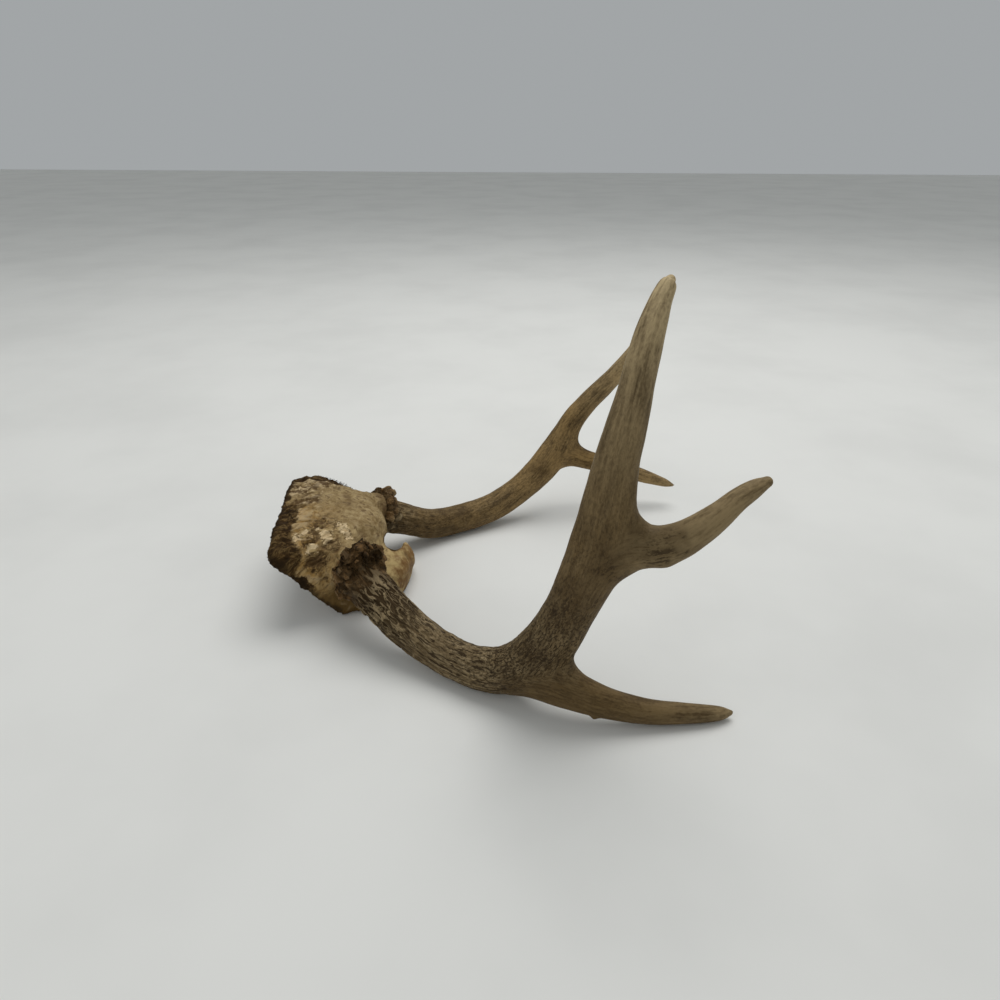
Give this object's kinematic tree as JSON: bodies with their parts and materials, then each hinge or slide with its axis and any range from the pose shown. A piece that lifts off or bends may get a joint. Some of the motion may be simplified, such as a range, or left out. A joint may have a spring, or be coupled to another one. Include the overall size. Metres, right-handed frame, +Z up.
{
  "type": "deer antlers on skull cap",
  "caption": "Small pair of whitetail deer antlers, still joined by the sawn-off top of the skull, lying on its beams.",
  "frame": {"origin": "floor point under the middle of the rack's bounding box", "axes": "+Z up as it lies on a level floor, +X from the forehead's sawn edge towards the tine tips, +Y from the left antler to the right antler"},
  "size_m": [0.2631, 0.2592, 0.2095],
  "materials": {
    "skull_bone": "matte",
    "antler": "satin"
  },
  "bodies": {
    "root": {"skull_cap": "skull_bone", "left_beam_base": "antler", "left_first_tine": "antler", "left_beam_middle": "antler", "left_second_tine": "antler", "left_beam_tip": "antler", "right_beam_base": "antler", "right_first_tine": "antler", "right_beam_tip": "antler"}
  },
  "joints": []
}
